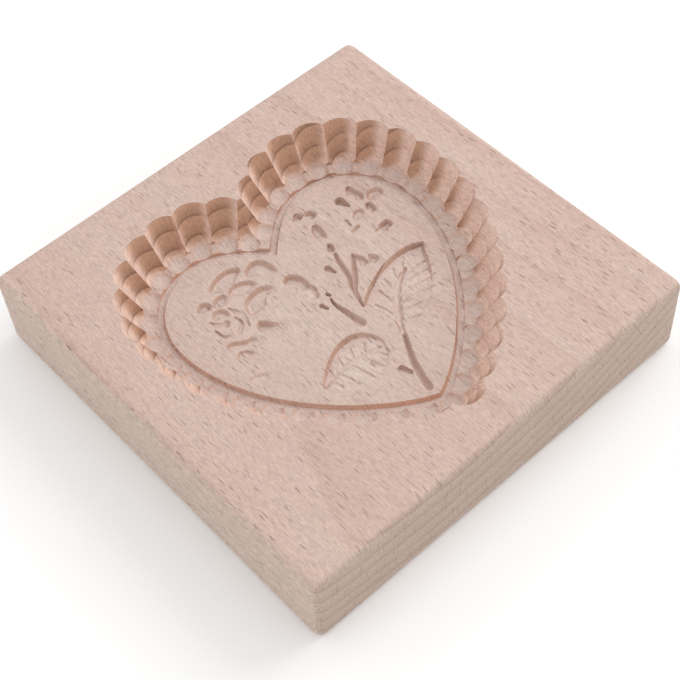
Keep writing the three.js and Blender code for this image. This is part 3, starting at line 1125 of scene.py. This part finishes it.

# %% [markdown]
# Inside, the flat floors stay pale, and a wall is browner the more it cuts across the fibres. Painted
# light and shade are mixed into these tints: floors below the panel are made lighter, the side-grain
# walls of the flutes much lighter, the side-grain walls of the feet and the trench a little lighter, and
# the relief's walls darker. The normal tells which way a wall faces and how steep it is. Its steepness,
# its height and the mark on the mesh tell whether it belongs to a flute, the foot of one, the trench or
# the relief. In the flutes the direction that counts as across leans a little towards the lamp's side,
# so that, of the walls facing the camera, those turned away from the lamp get browner: painted shade.

# %% Carved faces
CUT_FLOOR = (1.01, 1.05, 1.07, 1)
# Floors deeper than the panel are lightened: painted light in the bottom of the recess.
DEEP_FLOOR_PAINTED_LIGHT = (1.07, 1.14, 1.19, 1)
# Relief walls are darkened: browner cut grain and painted shade.
RELIEF_SIDE_AND_SHADE = (0.90, 0.86, 0.83, 1)
RELIEF_END_AND_SHADE = (0.81, 0.71, 0.64, 1)
# Foot and trench walls are lifted: painted light against the shade of the recess, with browner end grain.
FOOT_SIDE_AND_LIGHT = (1.06, 1.04, 1.02, 1)
FOOT_END_AND_LIGHT = (1.00, 0.91, 0.83, 1)
TRENCH_SIDE_AND_LIGHT = (1.06, 1.02, 0.99, 1)
TRENCH_END_AND_LIGHT = (1.05, 0.88, 0.75, 1)
# Flute walls: the side grain is lightened as painted light, and the end grain is browned, partly the cut
# grain's colour and partly painted shade.
FLUTE_SIDE_PAINTED_LIGHT = (1.30, 1.28, 1.26, 1)
FLUTE_END_AND_SHADE = (0.80, 0.635, 0.50, 1)

ACROSS_GRAIN = (0.45, 0.95)
ACROSS_FLUTE = (0.36, 0.9)
# The lean browns the camera-facing walls that are turned from the lamp: painted shade.
LAMP_SHADE_LEAN = 0.3
FLOOR_TO_WALL = (0.90, 0.74)
FOOT_TO_TRENCH = (0.56, 0.42)
FLUTE_FADE = 0.5 * MM
DEEP_FROM = 0.15 * MM
DEEP_TO = 0.6 * MM


def carved_wood_light_and_shade(tree, wood, facing, flatness, height):
    across_grain = fade_between(tree, size_of(tree, facing["Y"]), *ACROSS_GRAIN)
    # Leaning the across direction towards the lamp's side browns the camera-facing walls turned from the
    # lamp: painted shade.
    leaned_from_lamp = calculate(tree, "MULTIPLY_ADD", facing["X"], LAMP_SHADE_LEAN, facing["Y"])
    across_flute_and_shade = fade_between(tree, size_of(tree, leaned_from_lamp), *ACROSS_FLUTE)

    # Foot, trench and relief walls take tints that are partly the cut grain's colour and partly painted
    # light and shade.
    foot_wall_and_light = mix_colours(tree, across_grain, FOOT_SIDE_AND_LIGHT, FOOT_END_AND_LIGHT)
    trench_wall_and_light = mix_colours(tree, across_grain, TRENCH_SIDE_AND_LIGHT, TRENCH_END_AND_LIGHT)
    low_wall_light_and_shade = mix_colours(tree, fade_between(tree, flatness, *FOOT_TO_TRENCH), foot_wall_and_light, trench_wall_and_light)
    relief_wall_and_shade = mix_colours(tree, across_grain, RELIEF_SIDE_AND_SHADE, RELIEF_END_AND_SHADE)
    on_panel = node(tree, "ShaderNodeAttribute", attribute_name=PANEL_MARK).outputs["Fac"]
    low_wall_light_and_shade = mix_colours(tree, on_panel, low_wall_light_and_shade, relief_wall_and_shade)
    # Flute walls: side grain lightened as painted light, end grain browned, partly grain and partly painted
    # shade.
    flute_wall_and_shade = mix_colours(tree, across_flute_and_shade, FLUTE_SIDE_PAINTED_LIGHT, FLUTE_END_AND_SHADE)
    in_flute = fade_between(tree, height, panel_z, panel_z + FLUTE_FADE)
    wall_light_and_shade = mix_colours(tree, in_flute, low_wall_light_and_shade, flute_wall_and_shade)

    # Floors below the panel are lightened: painted light.
    deep = fade_between(tree, height, panel_z - DEEP_FROM, panel_z - DEEP_TO)
    floor_tint_and_light = mix_colours(tree, deep, CUT_FLOOR, DEEP_FLOOR_PAINTED_LIGHT)
    # Steep walls take the wall tints and floors the floor tints, each holding painted light or shade as
    # well as grain colour.
    cut_light_and_shade = mix_colours(tree, fade_between(tree, flatness, *FLOOR_TO_WALL), floor_tint_and_light, wall_light_and_shade)
    return mix_colours(tree, 1.0, wood, cut_light_and_shade, "MULTIPLY")

# %% [markdown]
# A place was cut by the tool if it lies below the top face, no lower than the trench and well inside the
# four sides. Everything else was sanded.

# %% Where the tool has been
CARVED_TO = 45.0 * MM
BELOW_TOP = 0.04 * MM
BELOW_TRENCH = 1 * MM


def cut_by_tool(tree, place):
    axes = node(tree, "ShaderNodeSeparateXYZ", {0: place}).outputs
    off_middle = calculate(tree, "MAXIMUM", size_of(tree, axes["X"]), size_of(tree, axes["Y"]))
    near = calculate(tree, "LESS_THAN", off_middle, CARVED_TO)
    below_top = calculate(tree, "LESS_THAN", axes["Z"], top_z - BELOW_TOP)
    above_base = calculate(tree, "GREATER_THAN", axes["Z"], trench_z - BELOW_TRENCH)
    return product(tree, near, below_top, above_base)

# %% [markdown]
# ### Rings and rays over the colour
#
# Ring bands and ring lines belong to the end grain. They are strong on fresh cuts and weak on the sanded
# ends. Only a trace of the ring lines is left on the other faces.

# %% Rings over the colour
RING_SHADES = (1.12, 0.86)
SANDED_RING_CONTRAST = 0.25
RING_LINE_STRENGTH = 0.34
FAINT_LINE_STRENGTH = 0.05
RAY_DARK = (0.155, 0.070, 0.042, 1)


def ringed(tree, colour, rings, end_grain, cut):
    contrast = fade_between(tree, cut, 0.0, 1.0, SANDED_RING_CONTRAST, 1.0)
    amount = product(tree, end_grain, contrast)
    shade = fade_between(tree, rings.outputs["Lateness"], 0.0, 1.0, *RING_SHADES)
    colour = mix_colours(tree, amount, colour, brightened(tree, colour, shade))
    strength = calculate(tree, "MULTIPLY_ADD", amount, RING_LINE_STRENGTH, FAINT_LINE_STRENGTH)
    return mix_colours(tree, product(tree, rings.outputs["Line"], strength), colour, RAY_DARK)

# %% [markdown]
# The ray group is used twice, for bold dashes and for finer ones between them. A cell's three lengths
# are across the grain, along it and outwards. The dashes are the darkest marks of all, crisp on the top
# face and fainter on steep walls.

# %% Rays over the colour
BOLD_RAYS = {"Cell": (0.43, 5.2, 15.0), "Share": 0.58, "Thickness": 0.22}
FINE_RAYS = {"Cell": (0.38, 3.8, 9.0), "Share": 0.75, "Thickness": 0.19}
FINE_RAY_STRENGTH = 0.55
RAY_FLATNESS = (0.2, 0.9)
RAY_STRENGTHS = (0.3, 0.92)


def ray_layer(tree, place, settings):
    layer = node(tree, "ShaderNodeGroup", node_tree=ray_group)
    tree.links.new(place, layer.inputs["Place"])
    for name, value in settings.items():
        layer.inputs[name].default_value = value
    return layer.outputs["Mask"]


def dashed(tree, colour, fine_rays, bold_rays, flatness):
    fine = product(tree, fine_rays, FINE_RAY_STRENGTH)
    bold = product(tree, bold_rays, fade_between(tree, flatness, *RAY_FLATNESS, *RAY_STRENGTHS))
    return mix_colours(tree, bold, mix_colours(tree, fine, colour, RAY_DARK), RAY_DARK)

# %% [markdown]
# ### Colour and fibre of plain wood
#
# Under all the marks, beech is pinkish beige, rosier in slow clouds and where the year's wood is late.
# Fibre is a fine light and dark streak on every face. Two noises make it, one drawn out far along the
# grain and one that breaks it up into specks.

# %% Plain wood
PALE = (0.585, 0.440, 0.378, 1)
ROSY = (0.556, 0.392, 0.333, 1)
CLOUD_STRETCH = (0.16, 0.03, 0.16)
CLOUD_ROSINESS = 1.6
LATE_ROSINESS = 0.55
MIDDLE_ROSINESS = 0.25

STREAK_STRETCH = (2.2, 0.28, 1.2)
STREAK_SHARE = 0.35
SPECK_STRETCH = (4.6, 0.8, 1.0)
SPECK_SHARE = 0.65


def plain_wood(tree, place, rings):
    cloud = calculate(tree, "SUBTRACT", noise(tree, place, CLOUD_STRETCH, detail=3.0), 0.5)
    clouded = calculate(tree, "MULTIPLY_ADD", cloud, CLOUD_ROSINESS, MIDDLE_ROSINESS)
    rosiness = calculate(
        tree, "MULTIPLY_ADD", rings.outputs["Lateness"], LATE_ROSINESS, clouded, clamp=True)
    return mix_colours(tree, rosiness, PALE, ROSY)


def fibres(tree, place):
    streak = product(tree, noise(tree, place, STREAK_STRETCH, detail=4.0), STREAK_SHARE)
    speck = product(tree, noise(tree, place, SPECK_STRETCH, detail=2.0), SPECK_SHARE)
    return calculate(tree, "ADD", streak, speck)

# %% [markdown]
# ### Surface
#
# Bare wood is dull and slightly uneven. The fibre changes the roughness a little, and the fibre and the
# rays together make a very shallow bump, with the rays as fine grooves.

# %% Surface of bare wood
ROUGHNESS = 0.60
FIBRE_ROUGHNESS = 0.18
SHINE = 0.25
FIBRE_HEIGHT = 0.5
RAY_DEPTH = 0.8
BUMP_STRENGTH = 0.35
BUMP_HEIGHT = 0.06 * MM


def bare_surface(tree, finish, fibre, bold_rays):
    roughness = calculate(tree, "MULTIPLY_ADD", fibre, FIBRE_ROUGHNESS, ROUGHNESS)
    tree.links.new(roughness, finish["Roughness"])
    finish["Specular IOR Level"].default_value = SHINE
    raised_fibre = product(tree, fibre, FIBRE_HEIGHT)
    sunk_rays = product(tree, bold_rays, RAY_DEPTH)
    height = calculate(tree, "SUBTRACT", raised_fibre, sunk_rays)
    settings = {"Height": height, "Strength": BUMP_STRENGTH, "Distance": BUMP_HEIGHT}
    bump = node(tree, "ShaderNodeBump", settings)
    tree.links.new(bump.outputs["Normal"], finish["Normal"])

# %% [markdown]
# ### The finished wood
#
# Now the parts are laid over each other. Plain wood takes the tints of the sanded or of the carved faces,
# then come the rings, the fibre and the rays, and last the surface.

# %% Beech material
FIBRE_RANGE = (0.34, 0.66)
FIBRE_SHADES = (0.86, 1.12)


def beech_material():
    material, finish = new_material("beech")
    tree = material.node_tree
    place = node(tree, "ShaderNodeGroup", node_tree=log_group).outputs[0]
    rings = node(tree, "ShaderNodeGroup", node_tree=ring_group)
    tree.links.new(place, rings.inputs["Place"])
    bold_rays = ray_layer(tree, place, BOLD_RAYS)
    fine_rays = ray_layer(tree, place, FINE_RAYS)

    here = node(tree, "ShaderNodeTexCoord").outputs
    facing = node(tree, "ShaderNodeSeparateXYZ", {0: here["Normal"]}).outputs
    height = node(tree, "ShaderNodeSeparateXYZ", {0: here["Object"]}).outputs["Z"]
    end_grain = fade_between(tree, size_of(tree, facing["Y"]), *END_GRAIN_FACING)
    flatness = size_of(tree, facing["Z"])
    cut = cut_by_tool(tree, here["Object"])

    wood = plain_wood(tree, place, rings)
    outer = sanded_wood(tree, wood, facing, end_grain)
    inner = carved_wood_light_and_shade(tree, wood, facing, flatness, height)
    colour = ringed(tree, mix_colours(tree, cut, outer, inner), rings, end_grain, cut)

    fibre = fibres(tree, place)
    colour = brightened(tree, colour, fade_between(tree, fibre, *FIBRE_RANGE, *FIBRE_SHADES))
    colour = dashed(tree, colour, fine_rays, bold_rays, flatness)
    tree.links.new(colour, finish["Base Color"])
    bare_surface(tree, finish, fibre, bold_rays)
    print("beech nodes:", len(tree.nodes))
    return material


carved.data.materials.clear()
carved.data.materials.append(beech_material())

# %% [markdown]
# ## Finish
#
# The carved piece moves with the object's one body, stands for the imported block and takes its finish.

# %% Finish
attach(carved, "root")
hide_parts("mould_block")
